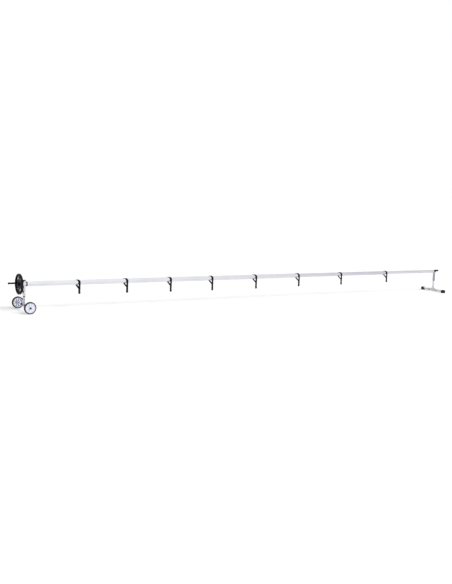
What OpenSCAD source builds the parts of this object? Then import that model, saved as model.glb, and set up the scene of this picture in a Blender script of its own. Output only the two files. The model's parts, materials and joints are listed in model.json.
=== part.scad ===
// Telescopic roller for a pool cover, on a wheeled stand and a foot stand.
// +X runs along the roller from the handwheel end to the foot end, +Z is up.
// The origin is on the ground, at the middle of the whole length.

/* [Roller] */
// Distance between the two posts, centre to centre
span = 7900; // [7400:10:8400]
// Height of the roller's axis above the ground
axis_h = 380; // [360:1:420]
// Outer diameter of the outer tube
outer_d = 70; // [66:1:76]
// Wall of the outer, middle and inner tubes
tube_wall = 2; // [1.5:0.1:2.5]
// Wall of the plastic bushes between one tube and the next
bush_wall = 2.5; // [2:0.1:3]
// Where the outer tube ends, from the wheeled post
outer_end = 4716; // [4600:5:4900]
// Where the middle tube ends, from the wheeled post
middle_end = 6689; // [6600:5:6800]
// Length of the middle tube that stays inside the outer tube
middle_overlap = 900; // [700:10:1100]
// Length of the inner tube that stays inside the middle tube
inner_overlap = 600; // [500:10:800]
// Length of the barrel of a tube bush
bush_len = 60; // [40:1:80]
// Thickness of the lip of a tube bush
bush_lip = 6; // [4:1:8]
// Length of the guide ring on a tube's hidden end
guide_len = 40; // [30:1:50]

/* [Shafts] */
// Diameter of the drive shaft and of the foot shaft
shaft_d = 25; // [20:1:28]
// Where the outer tube starts, from the wheeled post
tube_start = 44; // [43:1:60]
// Clear length of shaft between the foot post and the end of the inner tube
foot_collar_l = 6; // [5:1:10]
// Diameter of the black collar beside the wheeled post
collar_d = 66; // [56:1:68]
// Thickness of the black collar beside the wheeled post
collar_l = 10; // [8:1:12]
// Diameter of the neck of the drive plug
neck_d = 42; // [38:1:48]
// Length of a plug inside its tube
plug_len = 60; // [45:1:80]
// Thickness of a plug's lip against the end of its tube
plug_lip = 6; // [4:1:8]

/* [Handwheel] */
// Outer diameter of the handwheel
handwheel_d = 290; // [270:2:310]
// Distance from the wheeled post to the middle of the handwheel's rim
handwheel_off = 72; // [64:1:100]
// Thickness of the rim along the shaft
rim_t = 36; // [26:1:44]
// Depth of the rim towards the centre
rim_w = 20; // [18:1:24]
// Thickness of the web between hub and rim
web_t = 3.5; // [3:0.5:6]
// Diameter of the hub
hub_d = 58; // [52:1:64]
// Diameter of the neck between the hub and the post
hub_neck_d = 40; // [36:1:44]
// Half the width of a window
window_r = 22; // [16:1:23]
// Half the distance between the round ends of a window
window_half = 11; // [6:1:12]
// Height of the bead round a window
bead_h = 1; // [0.5:0.5:3]
// Width of the bead round a window
bead_w = 5; // [4:0.5:6]

/* [Crank grip] */
// Distance from the shaft to the crank bolt
crank_r = 106; // [96:1:108]
// Diameter of the boss under the grip
crank_boss_d = 40; // [34:1:44]
// Length of the grip
crank_len = 104; // [95:1:130]
// Diameter of the grip
crank_d = 24; // [22:1:26]
// Diameter of the flare at the grip's tip
crank_tip_d = 29; // [28:0.5:32]
// Diameter of the crank bolt
crank_bolt_d = 10; // [8:1:12]

/* [Posts] */
// Outer diameter of a post's sleeve
sleeve_d = 42; // [40:1:46]
// Wall of a sleeve
sleeve_wall = 1.5; // [1.5:0.1:2]
// Outer diameter of a lower post
post_d = 34; // [32:1:34]
// Wall of a lower post
post_wall = 2; // [1.5:0.1:2.5]
// Height of the lower end of a sleeve
sleeve_z = 215; // [200:1:230]
// Length of lower post inside its sleeve
post_in = 90; // [70:1:100]
// Height of the black skirt below a sleeve
skirt_h = 12; // [8:1:35]
// Height of the wheeled post's sleeve above the axis
sleeve_over = 44; // [40:1:60]
// Height of the cap on the wheeled post
cap_h = 13; // [10:1:18]
// Depth of the foot post's sleeve below the axis, where its cap begins
foot_under = 3; // [2:0.5:6]
// Length of the foot post's cap inside its sleeve
foot_cap_in = 30; // [26:1:34]
// Diameter of the bearing housing on the wheeled post
housing_d = 54; // [50:1:58]
// Diameter of the foot post's cap, round the shaft
foot_housing_d = 46; // [44:1:50]
// Length of a bearing housing and of the foot post's cap, more than the diameter of a sleeve
housing_len = 43; // [43:1:52]
// Wall of a bearing housing
housing_wall = 3; // [2.5:0.5:3.5]
// Thickness of the flange of a shaft bush
flange_t = 2; // [2:0.5:4]
// Diameter of the post bolts
bolt_d = 8; // [6:1:10]

/* [Ground wheels] */
// Diameter of a ground wheel over its tyre
wheel_d = 168; // [160:2:190]
// Distance between the two wheels, centre to centre
track = 540; // [500:10:600]
// Width of the tyre
tyre_w = 34; // [30:1:40]
// Depth of the tyre
tyre_t = 17; // [12:1:20]
// Length of the wheel's hub
wheel_hub_l = 42; // [38:1:48]
// Diameter of the wheel's hub
wheel_hub_d = 40; // [34:1:46]
// Number of ribs and of holes round a wheel
wheel_ribs = 8; // [6:1:10]
// Diameter of the holes through a wheel's face
wheel_hole_d = 18; // [10:1:22]
// Diameter of the axle
axle_d = 12; // [10:1:14]
// Outer diameter of the axle tube
axle_tube_d = 20; // [18:1:24]
// Length of the axle tube
axle_tube_l = 240; // [200:5:300]
// Length of a cap on the end of the axle tube
tube_cap_l = 36; // [28:1:44]

/* [Foot] */
// Distance between the two shoes, centre to centre
foot_w = 510; // [460:10:600]
// Diameter of the foot bar
foot_bar_d = 38; // [34:1:42]
// Height of the foot bar's centre above the ground
foot_bar_z = 30; // [28:1:34]
// Wall of the foot tee's cross sleeve
tee_wall = 3.8; // [3:0.1:4]
// Length of the foot tee's cross sleeve
tee_len = 240; // [200:5:280]
// Length of a shoe across the roller
shoe_l = 50; // [44:1:60]
// Width of a shoe along the roller
shoe_w = 62; // [56:1:70]
// Height of a shoe
shoe_h = 54; // [52:1:62]
// Radius of a shoe's upper corners
shoe_round = 11; // [8:1:14]
// Length of a foot gusset along the bar
gusset_l = 55; // [40:1:90]
// Height of a foot gusset
gusset_h = 26; // [20:1:80]
// Thickness of the gussets
gusset_t = 4; // [3:0.5:5]

/* [Lift handle] */
// Length of the lift handle's grip
lift_len = 70; // [60:1:120]
// Diameter of the lift handle's grip
lift_d = 30; // [28:1:34]
// Diameter of the lift handle's rod
lift_rod_d = 18; // [16:1:20]
// Height of the lift handle above the roller's axis
lift_up = 12; // [0:1:12]

/* [Straps] */
// Width of the webbing
web_w = 30; // [24:1:34]
// Thickness of the webbing
webbing_t = 2; // [1.5:0.1:2.5]
// How much wider the pad between tube and webbing is, on each side
pad_edge = 2; // [1:0.5:4]
// Thickness of the pad
pad_t = 3; // [2:0.5:4]
// Angle of the gap in a pad, at its lower side
pad_gap = 110; // [90:5:130]
// How far a strap goes along the roller from the front of its loop to the back
strap_skew = 40; // [20:1:44]
// Depth below the axis at which the two runs of webbing meet
join_depth = 90; // [80:1:100]
// Height of the clip on a strap's tail
clip_h = 28; // [26:1:34]

/* [Fits] */
// Radial clearance of a shaft in its bush
run_fit = 0.08; // [0.05:0.01:0.1]
// Radial clearance between pieces that slide or turn loosely
slide_fit = 0.3; // [0.25:0.05:0.4]
// Clearance between pieces that are fixed together
seat_fit = 0.1; // [0.05:0.01:0.2]
// End play between a turning piece and a fixed one
end_play = 0.5; // [0.4:0.1:0.8]

/* [Hidden] */
$fn = 96;

// Places of the strap tails on the outer tube, from the wheeled post, before the one at its end
outer_places = [795, 1542, 2270, 3007, 3834];
// Places of the strap tails on the middle tube, from the wheeled post, before the one at its end
middle_places = [5618];
// How far each strap hangs below the axis
strap_drops = [165, 175, 185, 190, 190, 180, 180, 170];

// Colours
bright = "#e9eaee";
light_grey = "#c9cbd0";
zinc = "#a9adb3";
black = "#1d1d20";
nylon = "#e4e6f2";
tyre_grey = "#4b4e59";

// Tubes
middle_d = outer_d - 2 * (tube_wall + bush_wall);
inner_d = middle_d - 2 * (tube_wall + bush_wall);
outer_bore = outer_d - 2 * tube_wall;
middle_bore = middle_d - 2 * tube_wall;
inner_bore = inner_d - 2 * tube_wall;

// Places along the roller, from the wheeled post
bearing_half = housing_len / 2 + flange_t;
hub_out = handwheel_off + rim_t / 2;
cap_out = 5;
crank_start = hub_out + end_play;
left_reach = crank_start + crank_len;
right_reach = housing_len / 2 + plug_lip + lift_len;
post_x = (left_reach - right_reach - span) / 2;
foot_x = post_x + span;
collar_start = bearing_half + end_play;
tube_end = span - bearing_half - end_play - foot_collar_l;

// Handwheel: angles of its windows and ribs; the sector at 180 stays solid and carries the crank
window_angles = [0, 54, 126, 234, 306];
rib_angles = [27, 90, 153, 207, 270, 333];
window_mid = handwheel_d / 2 - rim_w - window_r - 4;
nut_d = 34;
nut_h = 10;
nut_seat = rim_t / 2 - nut_h - 2;

// Wheels and axle
wheel_r = wheel_d / 2;
wheel_y = track / 2;
rim_r = wheel_r - tyre_t;
wheel_hub_end = wheel_y + wheel_hub_l / 2;
bush_step = 4;
axle_cap_h = 11;
axle_cap_d = 26;
axle_end = wheel_hub_end + axle_cap_h - 4;
tube_cap_t = 2.5;

// Posts
sleeve_bore = sleeve_d - 2 * sleeve_wall;
post_top = sleeve_z + post_in;
bolt_z = [sleeve_z + 22, sleeve_z + post_in - 24];
head_h = 5;

// Foot
foot_bush_d = shaft_d + 7;
foot_shaft_in = housing_len - 14;
foot_barrel_l = 16;
ring_t = 2;
tee_bore = foot_bar_d + 2 * seat_fit;
tee_d = tee_bore + 2 * tee_wall;
bar_bolt_y = tee_len / 2 - 25;
bar_bolt_d = 6;
shoe_end = 7;

// Straps
pad_w = web_w + 2 * pad_edge;
outer_straps = concat(outer_places, [outer_end - 1 - pad_w / 2]);
middle_straps = concat(middle_places, [middle_end - 1 - pad_w / 2]);
clip_w = web_w + 5;

// Turns what is drawn along Z to run along X, from x = 0
module along_x() { rotate([0, 90, 0]) children(); }

// Turns what is drawn along Z to run along -Y, from y = 0
module along_y() { rotate([90, 0, 0]) children(); }

// A round tube along Z
module tube(d, bore, h) {
    difference() {
        cylinder(d = d, h = h);
        translate([0, 0, -1]) cylinder(d = bore, h = h + 2);
    }
}

// A hexagon bolt along -Y from a head at y = 0, its nut on the far side
module through_bolt(d, grip) {
    along_y() {
        translate([0, 0, seat_fit]) cylinder(d = 1.8 * d, h = head_h, $fn = 6);
        translate([0, 0, -grip - head_h - 3]) cylinder(d = d, h = grip + 2 * head_h + 3);
        translate([0, 0, -grip - seat_fit - head_h]) cylinder(d = 1.8 * d, h = head_h, $fn = 6);
    }
}

// Bolts through a post's sleeve, at each bolt height
module sleeve_bolts() {
    for (z = bolt_z) translate([0, -sleeve_d / 2, z]) through_bolt(bolt_d, sleeve_d);
}

// Holes for the bolts through a post's sleeve
module sleeve_bolt_holes() {
    for (z = bolt_z)
        translate([0, sleeve_d, z]) along_y() cylinder(d = bolt_d + 2 * seat_fit, h = 2 * sleeve_d);
}

// A plastic bush between a sleeve and the lower post, with its skirt below the sleeve
module sleeve_bush() {
    skirt_d = sleeve_d - 4;
    difference() {
        union() {
            translate([0, 0, sleeve_z]) cylinder(d = sleeve_bore - 2 * seat_fit, h = post_in - 4);
            translate([0, 0, sleeve_z - skirt_h])
                cylinder(d1 = skirt_d - 2, d2 = skirt_d, h = 3);
            translate([0, 0, sleeve_z - skirt_h + 3]) cylinder(d = skirt_d, h = skirt_h - 3 - seat_fit);
            translate([0, 0, sleeve_z - 2]) cylinder(d = sleeve_bore - 2 * seat_fit, h = 3);
        }
        translate([0, 0, sleeve_z - skirt_h - 1])
            cylinder(d = post_d + 2 * seat_fit, h = skirt_h + post_in + 2);
        sleeve_bolt_holes();
    }
}

// A flanged bush for a shaft, its flange from x = 0 towards -X, its barrel towards +X
module shaft_bush(bore_d, barrel_d, barrel_l, flange_d) {
    along_x() difference() {
        union() {
            translate([0, 0, -flange_t]) cylinder(d = flange_d, h = flange_t);
            cylinder(d = barrel_d, h = barrel_l);
        }
        translate([0, 0, -flange_t - 1]) cylinder(d = bore_d, h = flange_t + barrel_l + 2);
    }
}

// A thin bush between one tube and the next, its lip outside the larger tube
module tube_bush(large_d, large_bore, small_d) {
    along_x() difference() {
        union() {
            translate([0, 0, seat_fit]) cylinder(d1 = large_d, d2 = large_d - 2, h = bush_lip);
            translate([0, 0, -bush_len]) cylinder(d = large_bore - 2 * seat_fit, h = bush_len + 1);
        }
        translate([0, 0, -bush_len - 1]) cylinder(d = small_d + 2 * slide_fit, h = bush_len + bush_lip + 3);
    }
}

// A guide ring on the hidden end of a tube, held by a step over the tube's end
module guide_ring(small_d, large_bore) {
    along_x() difference() {
        translate([0, 0, -3]) cylinder(d = large_bore - 2 * slide_fit, h = guide_len + 3);
        cylinder(d = small_d + 2 * seat_fit, h = guide_len + 1);
        translate([0, 0, -4]) cylinder(d = small_d - 4 * tube_wall, h = 6);
    }
}

// Screws set radially in the end of a tube, with low round heads
module radial_screws(d, reach) {
    for (a = [90, 270])
        rotate([a, 0, 0]) translate([0, 0, d / 2]) {
            translate([0, 0, -reach]) cylinder(d = 5, h = reach + 1);
            translate([0, 0, seat_fit]) cylinder(d1 = 10, d2 = 8, h = 2.4);
        }
}

module screw_holes(d) {
    rotate([90, 0, 0]) translate([0, 0, -d]) cylinder(d = 5 + 2 * seat_fit, h = 2 * d);
}

// ---- Wheeled stand ----

module post_sleeve() {
    color(light_grey) difference() {
        union() {
            translate([post_x, 0, sleeve_z]) cylinder(d = sleeve_d, h = axis_h + sleeve_over - sleeve_z);
            translate([post_x - housing_len / 2, 0, axis_h])
                along_x() cylinder(d = housing_d, h = housing_len);
        }
        translate([post_x, 0, sleeve_z - 1])
            cylinder(d = sleeve_bore, h = axis_h - housing_d / 2 - sleeve_z + 1);
        translate([post_x, 0, axis_h + housing_d / 2 - 2]) cylinder(d = sleeve_bore, h = sleeve_over);
        translate([post_x - housing_len, 0, axis_h])
            along_x() cylinder(d = housing_d - 2 * housing_wall, h = 2 * housing_len);
        translate([post_x, 0, 0]) sleeve_bolt_holes();
    }
}

module post_lower() {
    foot_z = wheel_r - axle_tube_d / 2 - 5;
    color(zinc) translate([post_x, 0, 0]) difference() {
        translate([0, 0, foot_z]) tube(post_d, post_d - 2 * post_wall, post_top - foot_z);
        translate([0, post_d, wheel_r]) along_y() cylinder(d = axle_tube_d + 2 * seat_fit, h = 2 * post_d);
        sleeve_bolt_holes();
    }
}

// A gusset plate in the corner of a post and a cross tube, with a hollow edge
module tee_gusset(side, post_r, tube_r, length, height) {
    sink = 4;
    // Radius and centre of the hollow edge, an arc through both tips of the gusset
    lean = atan2(height, length);
    reach = norm([length, height]);
    bow = 1.6 * reach;
    hang = sqrt(bow * bow - reach * reach / 4);
    arc_y = post_r + length / 2 + hang * sin(lean);
    arc_z = tube_r + height / 2 + hang * cos(lean);
    scale([1, side, 1]) rotate([90, 0, 90]) translate([0, 0, -gusset_t / 2])
        linear_extrude(gusset_t) difference() {
            polygon([
                [post_r - sink, tube_r - sink], [post_r + length, tube_r - sink],
                [post_r + length, tube_r], [post_r, tube_r + height], [post_r - sink, tube_r + height]
            ]);
            translate([arc_y, arc_z]) circle(r = bow, $fn = 180);
        }
}

module post_bush() { color(black) translate([post_x, 0, 0]) sleeve_bush(); }

module post_cap() {
    top = axis_h + sleeve_over;
    color(black) translate([post_x, 0, top]) {
        translate([0, 0, seat_fit]) rotate_extrude() cap_profile(sleeve_d / 2, cap_h - seat_fit, 4);
        translate([0, 0, -12]) tube(sleeve_bore - 2 * seat_fit, sleeve_bore - 6, 12.5);
    }
}

// Half outline of a round cap with a rounded upper edge
module cap_profile(r, h, round) {
    square([r - round, h]);
    square([r, h - round]);
    translate([r - round, h - round]) intersection() {
        circle(r = round);
        square(round);
    }
}

module post_bolts() { color(zinc) translate([post_x, 0, 0]) sleeve_bolts(); }

module shaft_bushes() {
    barrel_d = housing_d - 2 * housing_wall - 2 * seat_fit;
    barrel_l = housing_len / 2 - 1;
    color(nylon) for (side = [-1, 1])
        translate([post_x + side * housing_len / 2, 0, axis_h]) scale([-side, 1, 1])
            shaft_bush(shaft_d + 2 * run_fit, barrel_d, barrel_l, housing_d);
}

module axle_tube() {
    color(black) translate([post_x, axle_tube_l / 2, wheel_r])
        along_y() tube(axle_tube_d, axle_d + 2 * seat_fit, axle_tube_l);
}

module axle_rod() {
    color(zinc) translate([post_x, axle_end, wheel_r]) along_y() cylinder(d = axle_d, h = 2 * axle_end);
}

module axle_tube_caps() {
    color(black) for (side = [-1, 1]) scale([1, side, 1])
        translate([post_x, axle_tube_l / 2 + tube_cap_t + seat_fit, wheel_r]) along_y() difference() {
            rotate_extrude() translate([0, tube_cap_l]) mirror([0, 1])
                cap_profile(axle_tube_d / 2 + tube_cap_t, tube_cap_l, 2);
            translate([0, 0, tube_cap_t]) cylinder(d = axle_tube_d + 2 * seat_fit, h = tube_cap_l);
            translate([0, 0, -1]) cylinder(d = axle_d + 2 * seat_fit, h = tube_cap_l);
        }
}

module axle_caps() {
    color(black) for (side = [-1, 1]) scale([1, side, 1])
        translate([post_x, wheel_hub_end + end_play, wheel_r]) rotate([-90, 0, 0]) difference() {
            rotate_extrude() cap_profile(axle_cap_d / 2, axle_cap_h, 5);
            translate([0, 0, -1]) cylinder(d = axle_d + 2 * seat_fit, h = axle_cap_h - 3 - end_play);
        }
}

// ---- Ground wheels, drawn round Z with the outer face at the top ----

module wheel_hub_form() {
    half = tyre_w / 2 - 1;
    lip = 5;
    face_t = 4;
    rib_t = 4;
    hole_r = (rim_r + wheel_hub_d / 2) / 2;
    rib_l = rim_r - wheel_hub_d / 2 - 3;
    difference() {
        union() {
            rotate_extrude() polygon([
                [0, -wheel_hub_l / 2], [wheel_hub_d / 2, -wheel_hub_l / 2],
                [wheel_hub_d / 2, half - face_t - 3],
                [rim_r - 8, half - face_t], [rim_r - 8, -half], [rim_r + 1, -half], [rim_r + 1, lip - half],
                [rim_r - 3, lip - half + 2], [rim_r - 3, half - lip - 2], [rim_r + 1, half - lip],
                [rim_r + 1, half], [rim_r - 5, half], [rim_r - 9, half - 2], [wheel_hub_d / 2 + 4, half - 3],
                [wheel_hub_d / 2, half + 1], [wheel_hub_d / 2 - 4, wheel_hub_l / 2], [0, wheel_hub_l / 2]
            ]);
            for (i = [0 : wheel_ribs - 1]) rotate(360 * (i + 0.5) / wheel_ribs)
                translate([wheel_hub_d / 2 - 3, -rib_t / 2, 5 - half])
                    cube([rib_l, rib_t, 2 * half - 8 - face_t / 2]);
        }
        for (i = [0 : wheel_ribs - 1]) rotate(360 * i / wheel_ribs)
            translate([hole_r, 0, -half]) cylinder(d = wheel_hole_d, h = 3 * half, $fn = 32);
        translate([0, 0, -wheel_hub_l]) cylinder(d = axle_d + 2 * bush_step, h = 2 * wheel_hub_l);
    }
}

module tyre_form() {
    half = tyre_w / 2;
    lip = 5;
    crown = 7;
    bead_half = half - 1 - lip - 2 - slide_fit;
    rotate_extrude() difference() {
        union() {
            translate([rim_r + 1 + seat_fit, -half]) square([tyre_t - 1 - seat_fit - crown, 2 * half]);
            translate([rim_r + 1 + seat_fit, crown - half])
                square([tyre_t - 1 - seat_fit, 2 * (half - crown)]);
            for (side = [-1, 1]) translate([wheel_r - crown, side * (half - crown)])
                circle(r = crown, $fn = 48);
            polygon([
                [rim_r - 3 + seat_fit, -bead_half], [rim_r + 2, -bead_half - 2],
                [rim_r + 2, bead_half + 2], [rim_r - 3 + seat_fit, bead_half]
            ]);
        }
        // Two shallow grooves run round the tread
        for (side = [-1, 1]) translate([wheel_r, side * 5]) circle(r = 1.5, $fn = 24);
    }
}

module wheel_bush_form() {
    difference() {
        cylinder(d = axle_d + 2 * bush_step - 2 * seat_fit, h = wheel_hub_l, center = true);
        cylinder(d = axle_d + 2 * run_fit, h = wheel_hub_l + 2, center = true);
    }
}

// Puts a wheel form on the axle: side -1 is the front wheel, 1 the rear wheel
module at_wheel(side) {
    translate([post_x, side * wheel_y, wheel_r]) rotate([-side * 90, 0, 0]) children();
}

module front_wheel_hub() { color(nylon) at_wheel(-1) wheel_hub_form(); }
module front_wheel_tyre() { color(tyre_grey) at_wheel(-1) tyre_form(); }
module front_wheel_bush() { color(black) at_wheel(-1) wheel_bush_form(); }
module rear_wheel_hub() { color(nylon) at_wheel(1) wheel_hub_form(); }
module rear_wheel_tyre() { color(tyre_grey) at_wheel(1) tyre_form(); }
module rear_wheel_bush() { color(black) at_wheel(1) wheel_bush_form(); }

// ---- Handwheel and drive ----

// A slot with round ends across the wheel's radius, grown by extra on all sides
module window_shape(extra) {
    r = window_r + extra;
    for (end = [-1, 1]) translate([window_mid, end * window_half]) circle(r = r, $fn = 64);
    translate([window_mid - r, -window_half]) square([2 * r, 2 * window_half]);
}

// The handwheel round Z: its outer face at the top, its neck towards the post at the bottom
module handwheel_form() {
    rim_c = handwheel_d / 2 - rim_w / 2;
    round = rim_w / 2;
    neck_l = handwheel_off - bearing_half - end_play;
    difference() {
        union() {
            rotate_extrude() {
                square([hub_neck_d / 2, rim_t / 2]);
                translate([0, -neck_l]) square([hub_neck_d / 2, neck_l]);
                translate([0, -rim_t / 2]) square([hub_d / 2, rim_t - 2]);
                translate([0, rim_t / 2 - 3]) square([hub_d / 2 - 3, 3]);
                translate([0, -web_t / 2]) square([rim_c, web_t]);
                for (side = [-1, 1]) translate([rim_c, side * (rim_t / 2 - round)])
                    circle(r = round, $fn = 64);
                translate([rim_c - round, round - rim_t / 2]) square([rim_w, rim_t - 2 * round]);
            }
            for (a = window_angles) rotate(a) translate([0, 0, -web_t / 2 - bead_h])
                linear_extrude(web_t + 2 * bead_h) window_shape(bead_w);
            rotate(180) translate([crank_r, 0, -web_t / 2 - bead_h])
                cylinder(d = crank_boss_d, h = rim_t / 2 + web_t / 2 + bead_h);
            // Ribs brace the hub and the crank boss on both faces
            for (a = rib_angles) rotate(a) translate([hub_d / 2 - 4, -3, -web_t / 2 - bead_h])
                cube([rim_c - hub_d / 2, 6, web_t + 2 * bead_h]);
            rotate(180) for (y = [-6, 6]) translate([hub_d / 2 - 6, y - 2, -web_t / 2 - bead_h])
                cube([crank_r - hub_d / 2, 4, web_t + 2 * bead_h]);
        }
        for (a = window_angles) rotate(a) translate([0, 0, -rim_t])
            linear_extrude(2 * rim_t) window_shape(0);
        translate([0, 0, -2 * neck_l]) cylinder(d = shaft_d + 2 * seat_fit, h = 4 * neck_l);
        translate([0, 0, nut_seat]) cylinder(d = nut_d + 4, h = rim_t);
        rotate(180) translate([crank_r, 0, -rim_t])
            cylinder(d = crank_bolt_d + 2 * seat_fit, h = 2 * rim_t);
    }
}

// Puts what is drawn round Z on the shaft, facing away from the roller, 0 degrees towards -Y
module at_handwheel() {
    translate([post_x - handwheel_off, 0, axis_h]) rotate([0, -90, 0]) rotate(-90) children();
}

module handwheel() { color(black) at_handwheel() handwheel_form(); }

module handwheel_cap() {
    color(black) at_handwheel() translate([0, 0, rim_t / 2]) {
        translate([0, 0, seat_fit]) rotate_extrude() cap_profile(nut_d / 2 + 4, cap_out - seat_fit, 3);
        translate([0, 0, -1.5]) cylinder(d = nut_d + 4 - 2 * seat_fit, h = 2);
    }
}

module handwheel_nut() {
    color(zinc) at_handwheel() translate([0, 0, nut_seat + seat_fit]) difference() {
        cylinder(d = nut_d, h = nut_h - 1, $fn = 6);
        translate([0, 0, -1]) cylinder(d = shaft_d - 5 + 2 * seat_fit, h = nut_h + 2);
    }
}

module drive_shaft() {
    neck = nut_h - 2;
    start = handwheel_off + nut_seat;
    color(zinc) translate([post_x, 0, axis_h]) difference() {
        union() {
            translate([-start, 0, 0]) along_x() cylinder(d = shaft_d, h = start + tube_start + plug_len - 4);
            translate([-start - neck, 0, 0]) along_x() cylinder(d = shaft_d - 5, h = neck + 1);
        }
        translate([tube_start + plug_len / 2, 0, 0]) screw_holes(outer_d);
    }
}

module drive_collar() {
    color(black) translate([post_x + collar_start, 0, axis_h]) along_x() difference() {
        rotate_extrude() {
            cap_profile(collar_d / 2, collar_l, 2);
            square([collar_d / 2 - 1, 1]);
        }
        translate([0, 0, -1]) cylinder(d = shaft_d + 2 * seat_fit, h = collar_l + 2);
    }
}

module drive_plug() {
    neck_start = collar_start + collar_l + seat_fit;
    color(nylon) translate([post_x, 0, axis_h]) difference() {
        union() {
            translate([neck_start, 0, 0]) along_x() cylinder(d = neck_d, h = tube_start - neck_start);
            translate([tube_start - plug_lip, 0, 0])
                along_x() cylinder(d1 = outer_d - 2, d2 = outer_d, h = plug_lip - seat_fit);
            translate([tube_start - 1, 0, 0])
                along_x() cylinder(d = outer_bore - 2 * seat_fit, h = plug_len + 1);
        }
        along_x() cylinder(d = shaft_d + 2 * seat_fit, h = 2 * tube_start + plug_len);
        translate([tube_start + plug_len / 2, 0, 0]) screw_holes(outer_d);
    }
}

module drive_screws() {
    color(zinc) translate([post_x + tube_start + plug_len / 2, 0, axis_h])
        radial_screws(outer_d, outer_d / 2 - 2);
}

module crank_bolt() {
    head_l = 6;
    low = -web_t / 2 - bead_h;
    high = rim_t / 2 + end_play + crank_len - head_l;
    color(zinc) at_handwheel() rotate(180) translate([crank_r, 0, 0]) {
        translate([0, 0, low]) cylinder(d = crank_bolt_d, h = high - low);
        translate([0, 0, high - 1]) cylinder(d = 1.7 * crank_bolt_d, h = head_l - 1);
    }
}

module crank_grip() {
    tip_l = 16;
    foot_l = 6;
    bore_d = crank_bolt_d + 2 * run_fit;
    color(black) at_handwheel() rotate(180) translate([crank_r, 0, rim_t / 2 + end_play]) difference() {
        rotate_extrude() {
            square([crank_d / 2 + 2, foot_l]);
            square([crank_d / 2, crank_len - tip_l]);
            translate([0, crank_len - tip_l]) polygon([
                [0, 0], [crank_d / 2, 0], [crank_tip_d / 2, tip_l / 2], [crank_tip_d / 2, tip_l - 3],
                [crank_tip_d / 2 - 3, tip_l], [0, tip_l]
            ]);
        }
        translate([0, 0, -1]) cylinder(d = bore_d, h = crank_len + 2);
        translate([0, 0, crank_len - 7 - end_play]) cylinder(d = 1.7 * crank_bolt_d + 2 * slide_fit, h = 10);
    }
}

// ---- Tubes ----

// A length of tube on the roller's axis, between two places from the wheeled post
module roller_tube(d, from, to) {
    translate([post_x + from, 0, axis_h]) along_x() tube(d, d - 2 * tube_wall, to - from);
}

module outer_tube() {
    color(bright) difference() {
        roller_tube(outer_d, tube_start, outer_end);
        translate([post_x + tube_start + plug_len / 2, 0, axis_h]) screw_holes(outer_d);
    }
}

module outer_tube_bush() {
    color(nylon) translate([post_x + outer_end, 0, axis_h]) tube_bush(outer_d, outer_bore, middle_d);
}

module middle_tube() { color(bright) roller_tube(middle_d, outer_end - middle_overlap, middle_end); }

module middle_guide_ring() {
    color(black) translate([post_x + outer_end - middle_overlap - seat_fit, 0, axis_h])
        guide_ring(middle_d, outer_bore);
}

module middle_tube_bush() {
    color(nylon) translate([post_x + middle_end, 0, axis_h]) tube_bush(middle_d, middle_bore, inner_d);
}

module inner_tube() {
    color(bright) difference() {
        roller_tube(inner_d, middle_end - inner_overlap, tube_end - plug_lip);
        translate([post_x + tube_end - plug_lip - plug_len / 2, 0, axis_h]) screw_holes(inner_d);
    }
}

module inner_guide_ring() {
    color(black) translate([post_x + middle_end - inner_overlap - seat_fit, 0, axis_h])
        guide_ring(inner_d, middle_bore);
}

// ---- Straps ----

// Radius at which the webbing lies on a pad
function strap_r(tube_d) = tube_d / 2 + 2 * seat_fit + pad_t;

// A strap seen along the roller: from the front over the top of the pad, back below the tube
// to the front run, and on down as a doubled tail
module strap_outline(inner_r, drop) {
    outer_r = inner_r + webbing_t;
    tail_end = clip_w / 2 - drop;
    // Direction from the axis to the place where the back run leaves the pad
    leave = 180 + 2 * atan(join_depth / inner_r);
    far = 4 * outer_r;
    // The back run begins inside the arc, a hair thinner on both sides, and ends inside the front run
    lap = 1;
    hair = 0.05;
    difference() {
        circle(r = outer_r);
        circle(r = inner_r);
        polygon([[0, 0], [-far, 0], [-far, -far], [far * cos(leave), far * sin(leave)]]);
    }
    rotate(leave) translate([inner_r + hair, -join_depth - lap])
        square([webbing_t - 2 * hair, join_depth + 2 * lap]);
    translate([-outer_r, tail_end]) square([webbing_t, -tail_end]);
    translate([-inner_r, tail_end]) square([webbing_t, -tail_end - join_depth]);
}

// A slab round a strap's tail at x = 0, w wide along the roller, which slants towards -X at the back
module strap_slab(tube_d, w, h) {
    inner_r = strap_r(tube_d);
    slant = atan(strap_skew / (2 * inner_r));
    translate([0, -inner_r, 0]) rotate([0, 0, slant])
        cube([w * cos(slant), 8 * inner_r, 2 * h], center = true);
}

// A strap, its tail at x = 0; its width is cut from the outline by the slanting slab
module strap_form(tube_d, drop) {
    reach = web_w + 2 * strap_skew;
    intersection() {
        rotate([90, 0, 90]) translate([0, 0, -reach]) linear_extrude(2 * reach)
            strap_outline(strap_r(tube_d), drop);
        strap_slab(tube_d, web_w, 2 * drop);
    }
}

module strap(place, tube_d, drop) {
    color(black) translate([post_x + place, 0, axis_h]) strap_form(tube_d, drop);
}

// Pads between the tube and the webbing, each slanting with its strap and open along its lower side
module strap_pads(places, tube_d) {
    bore = tube_d + 2 * seat_fit;
    far = 3 * tube_d;
    reach = pad_w + 2 * strap_skew;
    color(black) for (x = places) translate([post_x + x, 0, axis_h]) intersection() {
        translate([-reach, 0, 0]) along_x() difference() {
            tube(bore + 2 * pad_t, bore, 2 * reach);
            translate([0, 0, -1]) linear_extrude(2 * reach + 2) polygon([
                [0, 0], [far * cos(pad_gap / 2), far * sin(pad_gap / 2)], [2 * far, 0],
                [far * cos(pad_gap / 2), -far * sin(pad_gap / 2)]
            ]);
        }
        strap_slab(tube_d, pad_w, tube_d);
    }
}

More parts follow.
